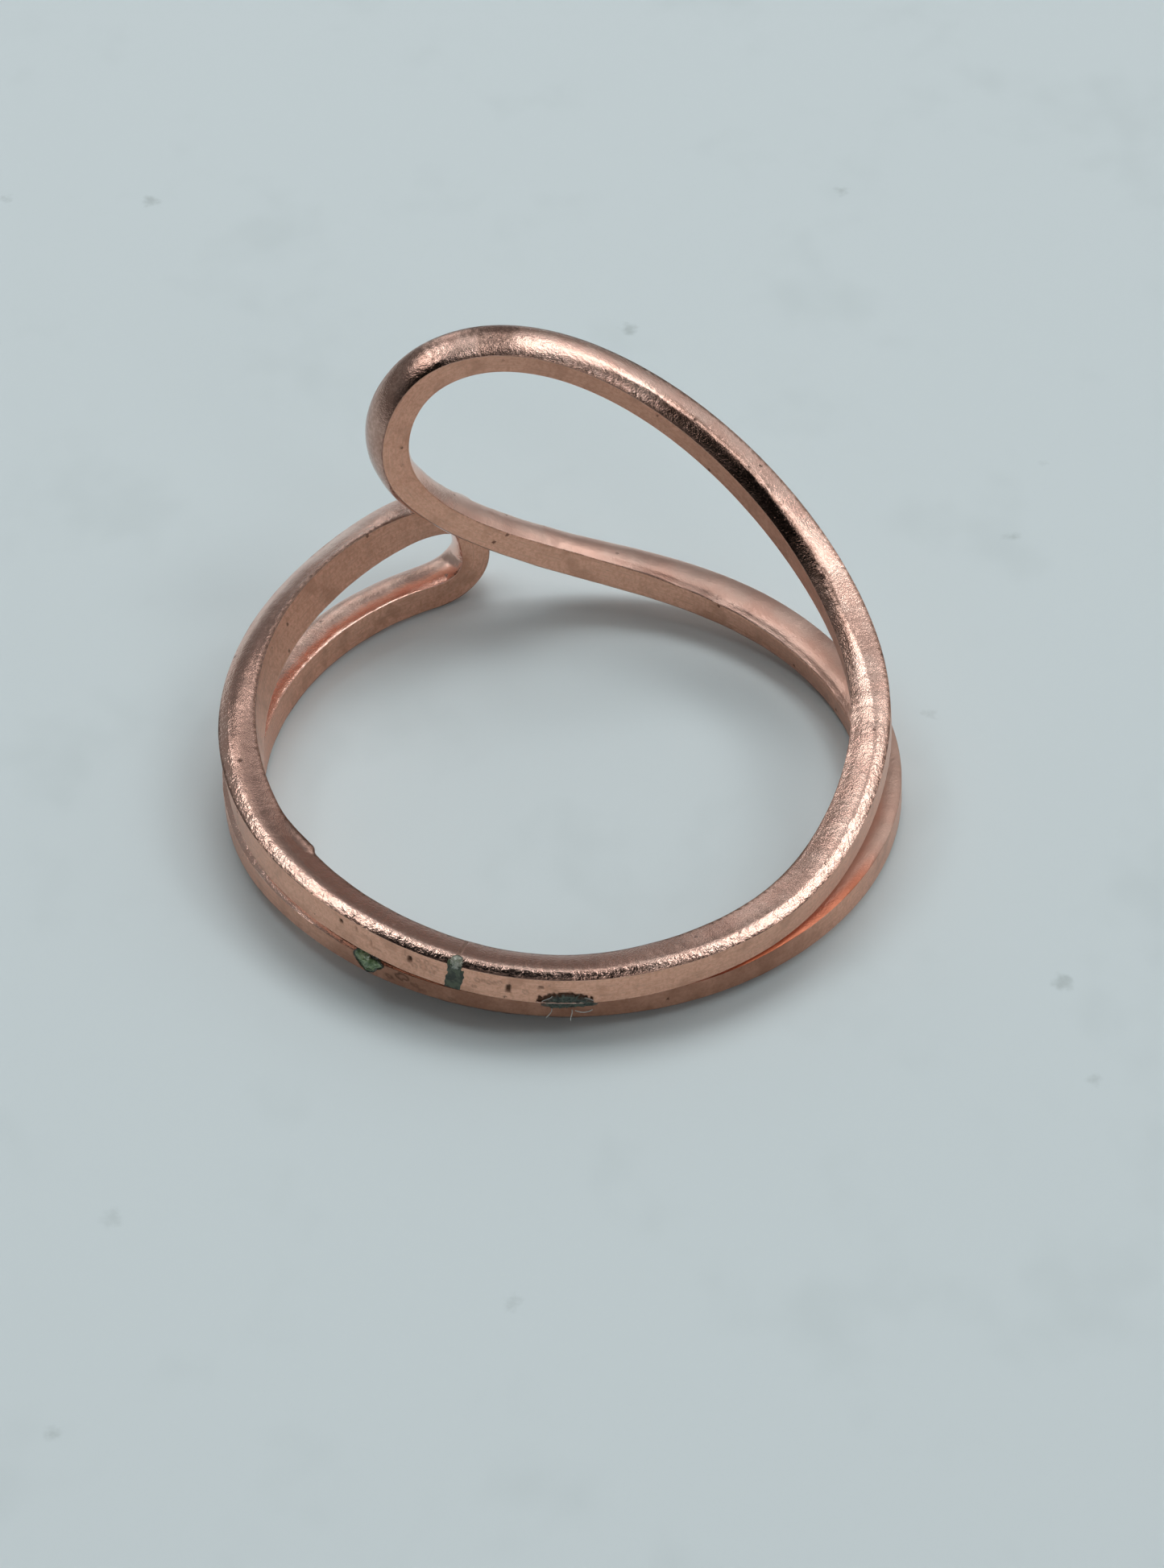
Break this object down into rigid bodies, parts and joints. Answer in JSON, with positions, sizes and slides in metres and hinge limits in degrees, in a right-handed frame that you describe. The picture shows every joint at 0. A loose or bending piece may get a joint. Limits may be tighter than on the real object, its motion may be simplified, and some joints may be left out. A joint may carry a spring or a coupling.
{
  "type": "bent-wire finger ring",
  "caption": "Bent copper-wire finger ring: stacked strands soldered at the front, parting at the back into a tall teardrop loop and a low hairpin loop.",
  "frame": {"origin": "on the finger axis, at the centre of the finger hole, level with the plane the ring lies on", "axes": "+Z along the finger axis, up from the resting plane; +Y towards the back, where the loops are; +X to the side of the large loop's rising arm"},
  "size_m": [0.0203, 0.0203, 0.0101],
  "materials": {
    "copper": "hand-worked copper wire: matte flats inside and outside, planished glossy crowns above and below",
    "solder": "dull grey-brown solder, slightly uneven",
    "flux_glass": "dark green glassy flux residue",
    "flux_crust": "thin blue-green flux crust with a ragged edge"
  },
  "bodies": {
    "root": {"large_loop_wire": "copper", "small_loop_wire": "copper", "upper_butt_solder": "solder", "lower_butt_solder": "solder", "seam_solder": "solder", "flux_bead_upper": "flux_glass", "flux_bead_lower": "flux_glass", "flux_bead_seam": "flux_crust"}
  },
  "joints": []
}
